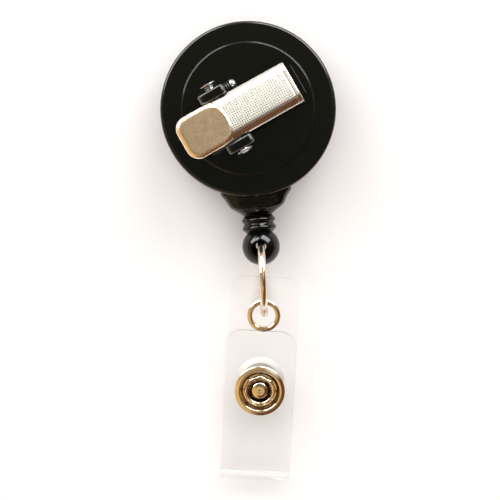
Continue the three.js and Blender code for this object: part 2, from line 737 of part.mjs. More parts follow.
reel.add(strapGroup());
reel.add(clipGroup());

export default reel;
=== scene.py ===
import json
import math

import bmesh
import bpy
from mathutils import Matrix, Vector


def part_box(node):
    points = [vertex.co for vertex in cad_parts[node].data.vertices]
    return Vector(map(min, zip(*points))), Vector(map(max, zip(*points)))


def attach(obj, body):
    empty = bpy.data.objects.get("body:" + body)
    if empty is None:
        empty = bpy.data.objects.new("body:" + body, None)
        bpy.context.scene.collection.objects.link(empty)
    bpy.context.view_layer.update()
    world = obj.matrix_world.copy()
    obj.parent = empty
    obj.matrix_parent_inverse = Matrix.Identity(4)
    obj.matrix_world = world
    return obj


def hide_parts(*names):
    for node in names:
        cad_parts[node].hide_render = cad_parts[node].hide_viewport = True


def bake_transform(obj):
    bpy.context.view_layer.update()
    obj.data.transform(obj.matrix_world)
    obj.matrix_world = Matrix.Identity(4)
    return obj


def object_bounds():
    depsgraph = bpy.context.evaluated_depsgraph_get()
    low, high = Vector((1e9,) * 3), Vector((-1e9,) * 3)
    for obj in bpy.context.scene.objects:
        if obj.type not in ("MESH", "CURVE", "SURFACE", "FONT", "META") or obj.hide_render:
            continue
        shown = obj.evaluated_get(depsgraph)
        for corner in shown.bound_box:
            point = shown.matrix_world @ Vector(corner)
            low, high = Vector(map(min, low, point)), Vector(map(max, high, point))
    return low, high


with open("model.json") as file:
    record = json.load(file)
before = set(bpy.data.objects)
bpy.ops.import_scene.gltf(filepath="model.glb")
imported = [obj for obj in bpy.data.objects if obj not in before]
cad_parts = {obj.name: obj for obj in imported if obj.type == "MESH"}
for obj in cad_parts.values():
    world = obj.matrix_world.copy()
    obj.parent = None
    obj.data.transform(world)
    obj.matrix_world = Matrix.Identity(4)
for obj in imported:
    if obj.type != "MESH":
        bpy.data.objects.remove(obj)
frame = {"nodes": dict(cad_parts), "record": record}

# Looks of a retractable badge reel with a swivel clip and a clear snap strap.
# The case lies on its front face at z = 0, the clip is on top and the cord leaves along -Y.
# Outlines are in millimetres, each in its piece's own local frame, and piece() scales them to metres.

MM = 0.001
UP = Vector((0, 0, 1))
cad_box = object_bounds()
joints = {joint["name"]: joint for joint in frame["record"]["behaviour"]["joints"]}


def joint_point(name):
    """Where a joint's axis passes, in metres."""
    return Vector(joints[name]["pos_m"])


def joint_axis(name):
    """A joint's axis, one unit long."""
    return Vector(joints[name]["axis"]).normalized()


def local_frame(origin, x, y, z):
    """The matrix from a local frame, given by its origin and axes, to the row frame."""
    return Matrix.Translation(origin) @ Matrix((x, y, z)).transposed().to_4x4()


# ---- local frames, from the joints ----

# clip: u runs from the thumb pad to the jaw, v across it, w up from the case's back
CLIP_V = -joint_axis("lever_open")
CLIP = local_frame(joint_point("clip_swivel"), CLIP_V.cross(UP), CLIP_V, UP)
PIN_U, _, PIN_W = (CLIP.inverted() @ joint_point("lever_open")) / MM

# strap: x across it, s from the fold towards the ring, h up through its layers
STRAP_TILT = math.radians(11.3)
FOLD_TO_HINGE = 1.85
STRAP_X = joint_axis("flap_open")
STRAP_S = math.cos(STRAP_TILT) * UP.cross(STRAP_X) + math.sin(STRAP_TILT) * UP
STRAP_ORIGIN = joint_point("flap_open") + FOLD_TO_HINGE * MM * STRAP_S
STRAP = local_frame(STRAP_ORIGIN, STRAP_X, STRAP_S, STRAP_X.cross(STRAP_S))

# link ring: its own axis is the local Z
RING_AXIS = -joint_axis("strap_tilt")
RING = local_frame(joint_point("strap_tilt"), UP, RING_AXIS.cross(UP), RING_AXIS)

# end fitting: the ball's centre, with the hole along Z; the neck runs along local +Y
BALL = Matrix.Translation(joint_point("fitting_spin"))
BALL_DISTANCE = -joint_point("fitting_spin").y / MM

SEAM_Z = joint_point("spool_spin").z / MM
CASE_TOP = joint_point("clip_swivel").z / MM
CASE_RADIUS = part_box("back_shell")[1].x / MM


# ---- materials ----


def shader(name, color, roughness, **sockets):
    """A material with one Principled shader, and short names for its parts."""
    material = bpy.data.materials.new(name)
    material.use_nodes = True
    bsdf = material.node_tree.nodes["Principled BSDF"]
    bsdf.inputs["Base Color"].default_value = (*color, 1)
    bsdf.inputs["Roughness"].default_value = roughness
    for socket, value in sockets.items():
        bsdf.inputs[socket.replace("_", " ")].default_value = value
    return material, material.node_tree, bsdf


def node(tree, kind, inputs=None, **settings):
    """A new shader node; an input is a value, or the socket that feeds it."""
    made = tree.nodes.new("ShaderNode" + kind)
    for name, value in settings.items():
        setattr(made, name, value)
    for name, value in (inputs or {}).items():
        if isinstance(value, bpy.types.NodeSocket):
            tree.links.new(value, made.inputs[name])
        else:
            made.inputs[name].default_value = value
    return made


def noise(tree, scale, detail=3.0, stretch=(1, 1, 1)):
    """Noise over the object, scale in features for each millimetre."""
    place = node(tree, "TexCoord").outputs["Object"]
    if stretch != (1, 1, 1):
        place = node(tree, "Mapping", {"Vector": place, "Scale": stretch}).outputs[0]
    texture = node(tree, "TexNoise", {"Vector": place, "Scale": scale / MM, "Detail": detail})
    return texture.outputs["Fac"]


def spread(tree, value, low, high, start=0.3, end=0.7):
    """value from start to end, spread over low to high."""
    ranged = node(
        tree, "MapRange",
        {"Value": value, "From Min": start, "From Max": end, "To Min": low, "To Max": high},
    )
    return ranged.outputs["Result"]


def mix(tree, share, first, second):
    """The colour first, going over to second where share is 1."""
    mixed = node(tree, "Mix", {"Factor": share}, data_type="RGBA")
    for socket, color in (("A", first), ("B", second)):
        if isinstance(color, bpy.types.NodeSocket):
            tree.links.new(color, mixed.inputs[socket])
        else:
            mixed.inputs[socket].default_value = (*color, 1)
    return mixed.outputs["Result"]


def shade(color, share):
    """color, darkened to a share of itself."""
    return [share * value for value in color]


def bump(tree, bsdf, height, depth, normal=None):
    """Relief of a height from 0 to 1, depth millimetres deep."""
    inputs = {"Height": height, "Distance": depth * MM}
    if normal is not None:
        inputs["Normal"] = normal
    made = node(tree, "Bump", inputs)
    tree.links.new(made.outputs["Normal"], bsdf.inputs["Normal"])
    return made.outputs["Normal"]


DUST = (0.05, 0.05, 0.048)
DIMPLE_SHADE = 0.38


def black_plastic(name, color, smooth, rough, grain, gloss=0.5):
    """Moulded black plastic: a fine grain, uneven gloss, and faint dust."""
    material, tree, bsdf = shader(name, color, smooth, Specular_IOR_Level=gloss)
    tree.links.new(spread(tree, noise(tree, 0.35, 4), smooth, rough), bsdf.inputs["Roughness"])
    dust = spread(tree, noise(tree, 2.6, 6), 0, 1, 0.72, 0.8)
    tree.links.new(mix(tree, dust, color, DUST), bsdf.inputs["Base Color"])
    swell = bump(tree, bsdf, noise(tree, 0.12, 1), 0.02)
    bump(tree, bsdf, noise(tree, 7, 2), grain, swell)
    return material


def plated(name, color, smooth, rough, swell, grain, mottle=0.25, worn=0.88, metallic=1.0):
    """Plated metal: slow waves left by polishing and a fine grain."""
    material, tree, bsdf = shader(name, color, smooth, Metallic=metallic)
    tree.links.new(spread(tree, noise(tree, 0.8, 4), smooth, rough), bsdf.inputs["Roughness"])
    tint = spread(tree, noise(tree, mottle, 2), 0, 1)
    tree.links.new(mix(tree, tint, color, shade(color, worn)), bsdf.inputs["Base Color"])
    waves = bump(tree, bsdf, noise(tree, 0.5, 2), swell)
    bump(tree, bsdf, noise(tree, 14, 2), grain, waves)
    return material


def knurled(name, color, smooth, rough, pitch, depth):
    """Plated metal pressed with a fine grid of dimples, in line with the clip; the dimples are also painted
    darker, as painted shade.
    """
    material, tree, bsdf = shader(name, color, smooth, Metallic=1.0)
    tree.links.new(spread(tree, noise(tree, 1.2, 4), smooth, rough), bsdf.inputs["Roughness"])
    place = node(tree, "TexCoord").outputs["Object"]
    axes = node(tree, "SeparateXYZ", {"Vector": place})
    per_metre = 2 * math.pi / (pitch * MM)
    waves = []
    for axis in "XY":
        turn = node(tree, "Math", {0: axes.outputs[axis], 1: per_metre}, operation="MULTIPLY")
        wave = node(tree, "Math", {0: turn.outputs[0]}, operation="COSINE")
        waves.append(wave.outputs[0])
    both = node(tree, "Math", {0: waves[0], 1: waves[1]}, operation="ADD")
    uneven = spread(tree, noise(tree, 1.8, 3), -0.5, 0.3)
    pressed = node(tree, "Math", {0: both.outputs[0], 1: uneven}, operation="ADD")
    dimple = spread(tree, pressed.outputs[0], 1, 0, 0.3, 1.9)
    tree.links.new(mix(tree, dimple, shade(color, DIMPLE_SHADE), color), bsdf.inputs["Base Color"])
    relief = bump(tree, bsdf, dimple, depth)
    bump(tree, bsdf, noise(tree, 9, 2), 0.004, relief)
    return material


# the painted highlight band at the strap's fold, a white shader standing in for light gathered in the curved
# clear sheet: its place along s, and its half width before and after it fades
BAND_S = 0.2
BAND_SOLID = 0.25
BAND_FADED = 0.6
BAND_STRENGTH = 0.9
FILM_MIRROR = 0.45


def clear_film():
    """Clear vinyl: it doesn't bend light, it mirrors more as it turns away, and a painted highlight lies as a
    white band across its fold.
    """
    material, tree, bsdf = shader("clear_vinyl", (0.95, 0.95, 0.96), 0.3)
    gloss = node(tree, "BsdfAnisotropic", {"Color": (1, 1, 1, 1)})
    tree.links.new(spread(tree, noise(tree, 0.4, 5), 0.03, 0.1), gloss.inputs["Roughness"])
    normal = bump(tree, gloss, noise(tree, 0.16, 2), 0.03)
    through = node(tree, "BsdfTransparent", {"Color": (0.987, 0.987, 0.986, 1)})
    turned = node(tree, "LayerWeight", {"Blend": 0.13, "Normal": normal}).outputs["Fresnel"]
    mirrored = spread(tree, turned, 0, FILM_MIRROR, 0, 1)
    film = node(tree, "MixShader", {0: mirrored, 1: through.outputs[0], 2: gloss.outputs[0]})
    place = node(tree, "TexCoord").outputs["Object"]
    band_middle = STRAP_ORIGIN + BAND_S * MM * STRAP_S
    past = node(tree, "VectorMath", {0: place, 1: band_middle}, operation="SUBTRACT").outputs[0]
    along = node(tree, "VectorMath", {0: past, 1: STRAP_S}, operation="DOT_PRODUCT")
    away = node(tree, "Math", {0: along.outputs["Value"]}, operation="ABSOLUTE")
    through_layers = STRAP_X.cross(STRAP_S)
    height = node(tree, "VectorMath", {0: past, 1: through_layers}, operation="DOT_PRODUCT")
    on_flap = spread(tree, height.outputs["Value"], 0, 1, 0, BAND_FADED * MM)
    band = spread(tree, away.outputs[0], BAND_STRENGTH, 0.0, BAND_SOLID * MM, BAND_FADED * MM)
    # the fold's white band is a painted highlight, kept to the flap's layer
    painted_fold_highlight = node(tree, "Math", {0: band, 1: on_flap}, operation="MULTIPLY").outputs[0]
    mixed = node(tree, "MixShader", {0: painted_fold_highlight, 1: film.outputs[0], 2: bsdf.outputs[0]})
    tree.links.new(mixed.outputs[0], tree.nodes["Material Output"].inputs["Surface"])
    return material


def cut_edge(name, color, alpha):
    """The vinyl's cut edge: nearly clear, with a fine saw grain, and tinted as painted shade for the light
    its cut face bends away.
    """
    material, tree, bsdf = shader(name, color, 0.3, Alpha=alpha)
    tree.links.new(spread(tree, noise(tree, 3, 4), 0.2, 0.4), bsdf.inputs["Roughness"])
    bump(tree, bsdf, noise(tree, 4, 2, (1, 1, 6)), 0.01)
    return material


def braid():
    """Black nylon cord, braided along its length."""
    material, tree, bsdf = shader("braided_cord", (0.02, 0.02, 0.022), 0.75, Sheen_Weight=0.3)
    place = node(tree, "TexCoord").outputs["Object"]
    turned = node(tree, "Mapping", {"Vector": place, "Rotation": (0.7, 0.5, 0.6)})
    strands = node(tree, "TexVoronoi", {"Vector": turned.outputs[0], "Scale": 3.2 / MM})
    bump(tree, bsdf, strands.outputs["Distance"], 0.12)
    return material


def moulded_acetal():
    """The spool's white plastic."""
    material, tree, bsdf = shader("white_acetal", (0.72, 0.72, 0.68), 0.4)
    tree.links.new(spread(tree, noise(tree, 1.5, 3), 0.35, 0.5), bsdf.inputs["Roughness"])
    bump(tree, bsdf, noise(tree, 5, 2), 0.006)
    return material


case_black = black_plastic("case_black", (0.002, 0.0026, 0.0022), 0.09, 0.14, 0.002)
fitting_black = black_plastic("fitting_black", (0.002, 0.0022, 0.0021), 0.06, 0.1, 0.001, gloss=0.34)
clip_black = black_plastic("clip_black", (0.0022, 0.0024, 0.0022), 0.06, 0.11, 0.001)
# a lighter grey laid on the ears' rounded edges as a painted highlight
painted_ear_edge_highlight = black_plastic("painted_ear_edge_highlight", (0.085, 0.085, 0.085), 0.1, 0.2, 0.002)
bright_nickel = plated("polished_nickel", (0.88, 0.78, 0.62), 0.05, 0.11, 0.012, 0.0006)
warm_nickel = plated("warm_nickel", (0.88, 0.78, 0.66), 0.05, 0.1, 0.012, 0.0006)
satin_nickel = plated("satin_nickel", (0.84, 0.79, 0.71), 0.17, 0.23, 0.008, 0.004)
# the thumb pad's mottled grain is its own; its gold tint, warmer than the rest of the lever, is a painted
# reflection of the warm room in front
pad_nickel = plated("pad_nickel", (1.0, 0.83, 0.63), 0.2, 0.27, 0.008, 0.014, mottle=3.2, worn=0.92)
leaf_nickel = knurled("leaf_nickel", (0.88, 0.85, 0.78), 0.2, 0.26, 0.44, 0.012)
# the rear cap's near-white colour, paler than nickel, is a painted highlight for its bright crescent
pale_nickel = plated("pale_nickel", (1.0, 1.0, 0.99), 0.42, 0.5, 0.006, 0.01, worn=0.96, metallic=0.5)
# dark brown nickel, used as painted shade in the snap's hollows
dark_nickel = plated("dark_nickel", (0.2, 0.13, 0.08), 0.2, 0.3, 0.006, 0.003)
spring_steel = plated("spring_steel", (0.5, 0.51, 0.53), 0.22, 0.34, 0.006, 0.003)
vinyl = clear_film()
# grey cut edges and a darker flap end: painted shade where the cut faces bend light away
vinyl_edge = cut_edge("vinyl_cut_edge", (0.75, 0.76, 0.77), 0.18)
vinyl_end = cut_edge("vinyl_cut_end", (0.12, 0.12, 0.12), 0.55)
cord_black = braid()
acetal = moulded_acetal()


# ---- drawing in millimetres ----


def rounded(points, steps=6):
    """A path of (x, y) points, with an arc at each (x, y, radius) corner."""
    path = []
    for i, corner in enumerate(points):
        here = Vector(corner[:2])
        if len(corner) == 2:
            path.append(here)
            continue
        before = Vector(points[i - 1][:2]) - here
        after = Vector(points[(i + 1) % len(points)][:2]) - here
        half = before.angle(after) / 2
        reach = corner[2] / math.tan(half)
        middle = (before.normalized() + after.normalized()).normalized()
        centre = here + middle * corner[2] / math.sin(half)
        start = here + before.normalized() * reach - centre
        end = here + after.normalized() * reach - centre
        sweep = start.angle_signed(end)
        for step in range(steps + 1):
            angle = -sweep * step / steps
            turned = Matrix.Rotation(angle, 2) @ start
            path.append(centre + turned)
    return path


def smooth_route(points, steps=8):
    """A Catmull-Rom curve through the points."""
    knots = [Vector(point) for point in points]
    knots = [2 * knots[0] - knots[1], *knots, 2 * knots[-1] - knots[-2]]
    path = []
    for a, b, c, d in zip(knots, knots[1:], knots[2:], knots[3:]):
        for step in range(steps):
            t = step / steps
            bend = (2 * a - 5 * b + 4 * c - d) * t**2 + (3 * b - a - 3 * c + d) * t**3
            path.append(0.5 * (2 * b + (c - a) * t + bend))
    path.append(knots[-2])
    return path


def skin(mesh, first, second):
    """Faces between two rows of vertices; a row of one vertex is a point."""
    count = max(len(first), len(second))
    for i in range(count):
        j = (i + 1) % count
        corners = [first[i % len(first)], first[j % len(first)]]
        corners += [second[j % len(second)], second[i % len(second)]]
        kept = [corner for n, corner in enumerate(corners) if corner not in corners[:n]]
        if len(kept) > 2:
            mesh.faces.new(kept)


def revolve(outline, steps=96, closed=False, wobble=None):
    """A body turned about the local Z axis from (radius, height) points."""
    mesh = bmesh.new()
    rings = []
    for radius, height in outline:
        if radius < 1e-6:
            rings.append([mesh.verts.new((0, 0, height))])
            continue
        ring = []
        for i in range(steps):
            angle = 2 * math.pi * i / steps
            r = radius * (wobble(angle, radius, height) if wobble else 1)
            ring.append(mesh.verts.new((r * math.cos(angle), r * math.sin(angle), height)))
        rings.append(ring)
    for first, second in zip(rings, rings[1:]):
        skin(mesh, first, second)
    if closed:
        skin(mesh, rings[-1], rings[0])
    return mesh


def tube(path, radius, sides=16):
    """A round tube along a list of points, closed at both ends."""
    mesh = bmesh.new()
    rings = []
    side = None
    for i, point in enumerate(path):
        along = (path[min(i + 1, len(path) - 1)] - path[max(i - 1, 0)]).normalized()
        if side is None:
            side = along.orthogonal().normalized()
        side = (side - along * side.dot(along)).normalized()
        other = along.cross(side)
        ring = []
        for k in range(sides):
            angle = 2 * math.pi * k / sides
            ring.append(mesh.verts.new(point + radius * (math.cos(angle) * side + math.sin(angle) * other)))
        rings.append(ring)
    for first, second in zip(rings, rings[1:]):
        skin(mesh, first, second)
    mesh.faces.new(rings[0])
    mesh.faces.new(rings[-1])
    return mesh


def prism(outline, low, high, axis="Z"):
    """A straight bar with an (x, y) outline; axis "Y" lays it across the clip, drawn in u and w."""
    mesh = bmesh.new()
    rows = []
    for level in (low, high):
        if axis == "Z":
            rows.append([mesh.verts.new((x, y, level)) for x, y in outline])
        else:
            rows.append([mesh.verts.new((x, level, y)) for x, y in outline])
    skin(mesh, rows[0], rows[1])
    mesh.faces.new(rows[0])
    mesh.faces.new(rows[1])
    return mesh


def rounded_bar(outline, low, high, edge, steps=5):
    """A bar laid across the clip, drawn in u and w, with both ends rounded over."""
    centre = sum(outline, Vector((0, 0))) / len(outline)
    reach_x = max(abs(point.x - centre.x) for point in outline)
    reach_y = max(abs(point.y - centre.y) for point in outline)
    levels = []
    for i in range(steps + 1):
        angle = math.pi / 2 * i / steps
        levels.append((low + edge * (1 - math.cos(angle)), edge * (1 - math.sin(angle))))
    levels += [(low + high - level, inset) for level, inset in reversed(levels)]
    mesh = bmesh.new()
    rows = []
    for level, inset in levels:
        row = []
        for point in outline:
            x = centre.x + (point.x - centre.x) * (1 - inset / reach_x)
            y = centre.y + (point.y - centre.y) * (1 - inset / reach_y)
            row.append(mesh.verts.new((x, level, y)))
        rows.append(row)
    for first, second in zip(rows, rows[1:]):
        skin(mesh, first, second)
    mesh.faces.new(rows[0])
    mesh.faces.new(rows[-1])
    return mesh


def moved(mesh, matrix):
    """The same mesh, turned and shifted by a matrix."""
    bmesh.ops.transform(mesh, matrix=matrix, verts=mesh.verts)
    return mesh


def mesh_object(mesh, name):
    """A plain object in millimetres, outside the scene's own pieces, for joining and cutting."""
    bmesh.ops.recalc_face_normals(mesh, faces=mesh.faces)
    data = bpy.data.meshes.new(name)
    mesh.to_mesh(data)
    mesh.free()
    obj = bpy.data.objects.new(name, data)
    bpy.context.scene.collection.objects.link(obj)
    return obj


def combined(first, *steps):
    """first joined with or cut by other meshes, each step being ("UNION" or "DIFFERENCE", mesh)."""
    body = mesh_object(first, "body")
    tools = []
    for operation, mesh in steps:
        tool = mesh_object(mesh, "tool")
        cutter = body.modifiers.new(operation, "BOOLEAN")
        cutter.operation = operation
        cutter.solver = "EXACT"
        cutter.object = tool
        tools.append(tool)
    bpy.context.view_layer.update()
    result = bmesh.new()
    result.from_mesh(body.evaluated_get(bpy.context.evaluated_depsgraph_get()).to_mesh())
    for used in (body, *tools):
        data = used.data
        bpy.data.objects.remove(used)
        bpy.data.meshes.remove(data)
    bmesh.ops.dissolve_degenerate(result, dist=1e-5, edges=result.edges)
    return result


def piece(mesh, name, body, material, place, replaces=(), sharp=35, bevel=0.0):
    """A finished piece: smooth, with rounded edges, in its place and on its body."""
    materials = material if isinstance(material, list) else [material]
    bmesh.ops.recalc_face_normals(mesh, faces=mesh.faces)
    data = bpy.data.meshes.new(name)
    mesh.to_mesh(data)
    mesh.free()
    data.transform(Matrix.Scale(MM, 4))
    data.polygons.foreach_set("use_smooth", [True] * len(data.polygons))
    for look in materials:
        data.materials.append(look)
    obj = bpy.data.objects.new(name, data)
    bpy.context.scene.collection.objects.link(obj)
    obj.matrix_world = place
    if bevel:
        edge = obj.modifiers.new("rounded_edges", "BEVEL")
        edge.width = bevel * MM
        edge.segments = 2
        edge.limit_method = "ANGLE"
        edge.angle_limit = math.radians(sharp)
        edge.harden_normals = True
    else:
        data.set_sharp_from_angle(angle=math.radians(sharp))
        even = obj.modifiers.new("even_normals", "WEIGHTED_NORMAL")
        even.keep_sharp = True
    if body:
        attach(obj, body)
    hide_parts(*replaces)
    return obj


# ---- camera ----

# it looks straight down from beside the middle of the part, turned a little about the vertical
CAMERA_HEIGHT = 411.4
CAMERA_TURN = math.radians(-5.45)
CAMERA_OFFSET = Vector((-2.09, 1.11))
CAMERA_LENS = 158.77

camera_data = bpy.data.cameras.new("camera")
camera_data.lens = CAMERA_LENS
camera_data.clip_start = 0.01
camera_data.clip_end = 20
camera = bpy.data.objects.new("camera", camera_data)
bpy.context.scene.collection.objects.link(camera)
middle = (cad_box[0] + cad_box[1]) / 2
camera.location = (middle.x + CAMERA_OFFSET.x * MM, middle.y + CAMERA_OFFSET.y * MM, CAMERA_HEIGHT * MM)
camera.rotation_euler = (0, 0, CAMERA_TURN)
bpy.context.scene.camera = camera

# ---- cord ----

CORD_RADIUS = 0.4
CORD_ROUTE = [
    (7.2, -11.3, 6.5), (4.8, -12.7, 6.4), (2.4, -14.4, 6.2), (0.8, -15.8, 6.05),
    (0.1, -17.2, 6.0), (0, -18.8, 6.0), (0, -20.4, 6.0),
]
cord = piece(
    tube(smooth_route(CORD_ROUTE), CORD_RADIUS), "cord", None, cord_black,
    Matrix.Identity(4), ["cord_run"],
)
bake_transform(cord)


# ---- case ----

LAND_RADIUS = 12.1
LAND_STEP = 0.6
FRONT_LAND_RADIUS = 12.6
FRONT_LAND_STEP = 0.5
WALL = 1.2
CASE_FLOOR = 1.5
CAVITY_RADIUS = CASE_RADIUS - WALL
SEAM_CHAMFER = 0.12
RIVET_HOLE = 1.6
CASE_STEPS = 192
CASE_DRAFT = 0.03
RIM_ROUND = 0.6
CAVITY_ROUND = 0.4
POST_RADIUS = 2.2
POST_TOP = 8.6

# nozzle: distance from the spool's axis, half width and half height there
NOZZLE = [
    (14.0, 6.7, 4.5), (15.25, 6.45, 4.49), (15.6, 6.2, 4.45), (16.2, 5.76, 4.36), (16.7, 5.48, 4.28),
    (17.2, 5.2, 4.3), (17.7, 4.85, 4.24), (18.05, 4.42, 3.98), (18.45, 3.82, 3.55), (18.85, 3.22, 3.13),
    (19.15, 2.8, 2.8),
]
NOZZLE_POWER = 0.4
NOZZLE_FACE = 2.5
FACE_CHAMFER = 0.16
THROAT = 1.0
THROAT_CHAMFER = 0.15
THROAT_LENGTH = 2.4


def nozzle_at(distance):
    """Half width and half height of the nozzle, between the listed places."""
    for (d0, a0, b0), (d1, a1, b1) in zip(NOZZLE, NOZZLE[1:]):
        if distance <= d1:
            t = (distance - d0) / (d1 - d0)
            return a0 + (a1 - a0) * t, b0 + (b1 - b0) * t
    return NOZZLE[-1][1:]


def nozzle_half(mesh, side):
    """Adds the nozzle's half above (side 1) or below (side -1) the seam."""
    curve = smooth_route([(a, -d, b) for d, a, b in NOZZLE], 5)
    angles = [math.pi * i / 40 for i in range(41)]
    rows = []

    def row(half_width, half_height, y, inset):
        """Half of a squared oval, its two ends set in from the seam's corner by inset."""
        verts = []
        for i, angle in enumerate(angles):
            c, s = math.cos(angle), math.sin(angle)
            x = half_width * math.copysign(abs(c) ** NOZZLE_POWER, c)
            z = half_height * s**NOZZLE_POWER
            if i in (0, len(angles) - 1):
                x -= math.copysign(inset, x)
            verts.append(mesh.verts.new((x, y, SEAM_Z + side * z)))
        return verts

    for a, y, b in curve:
        rows.append(row(a, b, y, SEAM_CHAMFER))
    end = curve[-1].y
    face = end - 0.09
    edge = NOZZLE_FACE + FACE_CHAMFER
    mouth = THROAT + THROAT_CHAMFER
    rows.append(row(edge, edge, end - 0.06, SEAM_CHAMFER))
    rows.append(row(NOZZLE_FACE, NOZZLE_FACE, face, 0))
    rows.append(row(mouth, mouth, face, 0))
    rows.append(row(THROAT, THROAT, end + 0.1, 0))
    rows.append(row(THROAT, THROAT, end + THROAT_LENGTH, 0))
    for first, second in zip(rows, rows[1:]):
        for i in range(len(angles) - 1):
            side_face = mesh.faces.new([first[i], first[i + 1], second[i + 1], second[i]])
            side_face.material_index = 1


def back_shell():
    """The half with the clip: a cup with a raised round land and the rivet's hole."""
    rim = CASE_TOP - LAND_STEP
    seam = SEAM_Z
    outline = rounded([
        (RIVET_HOLE, CASE_TOP - CASE_FLOOR), (RIVET_HOLE, CASE_TOP), (LAND_RADIUS, CASE_TOP, 0.22),
        (LAND_RADIUS + 0.03, rim, 0.12), (CASE_RADIUS - CASE_DRAFT, rim, RIM_ROUND),
        (CASE_RADIUS, seam + SEAM_CHAMFER), (CASE_RADIUS - SEAM_CHAMFER, seam), (CAVITY_RADIUS, seam),
        (CAVITY_RADIUS, CASE_TOP - CASE_FLOOR, CAVITY_ROUND),
    ])
    mesh = revolve(outline, CASE_STEPS, closed=True)
    nozzle_half(mesh, 1)
    return mesh


def front_shell():
    """The half that lies on the floor: a cup with the spool's post."""
    seam = SEAM_Z
    outline = rounded([
        (0, 0), (FRONT_LAND_RADIUS, 0, 0.16), (FRONT_LAND_RADIUS + 0.3, FRONT_LAND_STEP, 0.15),
        (CASE_RADIUS - CASE_DRAFT, FRONT_LAND_STEP, RIM_ROUND), (CASE_RADIUS, seam - SEAM_CHAMFER),
        (CASE_RADIUS - SEAM_CHAMFER, seam), (CAVITY_RADIUS, seam), (CAVITY_RADIUS, CASE_FLOOR, CAVITY_ROUND),
        (POST_RADIUS, CASE_FLOOR, 0.2), (POST_RADIUS, POST_TOP), (0, POST_TOP),
    ])
    mesh = revolve(outline, CASE_STEPS)
    nozzle_half(mesh, -1)
    return mesh


case_looks = [case_black, fitting_black]
for mesh, name, cad_node in (
    (back_shell(), "case_back", "back_shell"), (front_shell(), "case_front", "front_shell"),
):
    piece(mesh, name, "case", case_looks, Matrix.Identity(4), [cad_node], sharp=50)

PIP_DISTANCE = 18.3
PIP_TILT = 0.75
pip_top = (SEAM_Z + nozzle_at(PIP_DISTANCE)[1]) * MM
pip_place = Matrix.Translation((0, -PIP_DISTANCE * MM, pip_top)) @ Matrix.Rotation(PIP_TILT, 4, "X")


def nozzle_pip():
    """A small moulded dot on the nozzle's slope."""
    return revolve(rounded([(0, 0.13), (0.24, 0.12, 0.1), (0.38, 0.02), (0.4, -0.3), (0, -0.3)]), 32)


piece(nozzle_pip(), "nozzle_pip", "case", case_black, pip_place)


# ---- cord end fitting ----

BALL_RADIUS = 3.46
HOLE_WAIST = 0.93
HOLE_MOUTH = 1.52
HOLE_LEAN_BACK = math.radians(6)
HOLE_LEAN_SIDE = math.radians(-7)
NECK_START = 19.29
NECK_END = 23.0
# neck: distance from the spool's axis, and radius there
NECK = [
    (NECK_START, 2.3), (19.3, 2.52), (19.72, 2.86), (19.98, 3.04), (20.2, 3.09), (20.44, 3.03), (20.8, 2.74),
    (21.18, 2.9), (21.44, 3.06), (21.66, 3.11), (21.9, 3.04), (22.3, 2.64), (22.7, 2.3), (NECK_END, 2.1),
]
CORD_BORE = 0.6
POCKET_RADIUS = 1.35
POCKET_DEPTH = 2.2


def ball():
    """A ball with a round hole along Z that flares at both mouths."""
    mouth = math.sqrt(BALL_RADIUS**2 - HOLE_MOUTH**2)
    outline = []
    steps = 24
    for i in range(steps + 1):
        share = 2 * i / steps - 1
        outline.append((HOLE_WAIST + (HOLE_MOUTH - HOLE_WAIST) * share**2, mouth * share))
    start = math.asin(HOLE_MOUTH / BALL_RADIUS)
    for i in range(1, 40):
        angle = start + (math.pi - 2 * start) * i / 40
        outline.append((BALL_RADIUS * math.sin(angle), BALL_RADIUS * math.cos(angle)))
    return revolve(outline, 96, closed=True)


def neck():
    """The ribbed neck above the ball, turned about the cord, with its bore and the knot's pocket."""
    ridge = smooth_route([(radius, distance, 0) for distance, radius in NECK], 6)
    outline = [(point.x, BALL_DISTANCE - point.y) for point in ridge]
    low = BALL_DISTANCE - NECK_END
    roof = low + POCKET_DEPTH
    outline += [(POCKET_RADIUS, low), (POCKET_RADIUS, roof), (CORD_BORE, roof + 0.4)]
    outline += [(CORD_BORE, BALL_DISTANCE - NECK_START)]
    return revolve(outline, 96, closed=True)


hole_lean = Matrix.Rotation(HOLE_LEAN_BACK, 4, "X") @ Matrix.Rotation(HOLE_LEAN_SIDE, 4, "Y")
neck_place = BALL @ Matrix.Rotation(-math.pi / 2, 4, "X")
piece(
    ball(), "fitting_ball", "cord_end", fitting_black,
    BALL @ hole_lean, ["cord_end_fitting"], sharp=60,
)
piece(neck(), "fitting_neck", "cord_end", fitting_black, neck_place, sharp=60)


# ---- link ring ----

RING_WIRE = 0.675
RING_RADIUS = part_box("link_ring")[1].z / MM / 2 - RING_WIRE


def link_ring():
    """A plain closed ring of round wire."""
    circle = [
        (RING_RADIUS + RING_WIRE * math.cos(a), RING_WIRE * math.sin(a))
        for a in [2 * math.pi * i / 32 for i in range(32)]
    ]
    return revolve(circle, 160, closed=True)


piece(link_ring(), "link_ring_wire", "ring", warm_nickel, RING, ["link_ring"])


# ---- strap ----

# the sheet, then where its fittings sit along s, its holes, and how far it strays from flat and straight
STRAP_HALF = 6.35
SHEET = 0.5
FOLD_MIDDLE = 1.4
BACK_LENGTH = 36.9
FLAP_LENGTH = 27.4
STRAP_CORNER = 3.0
EYELET_S = 29.65
SNAP_S = 16.3
FOLD_LENGTH = math.pi * FOLD_MIDDLE
EYELET_HOLE = 2.5
STUD_HOLE = 1.4
SOCKET_HOLE = 2.9
BOW_LONG = 0.03
BOW_SHORT = 0.015
FLAP_WIDENING = 0.03
FLAP_DRIFT = 0.25


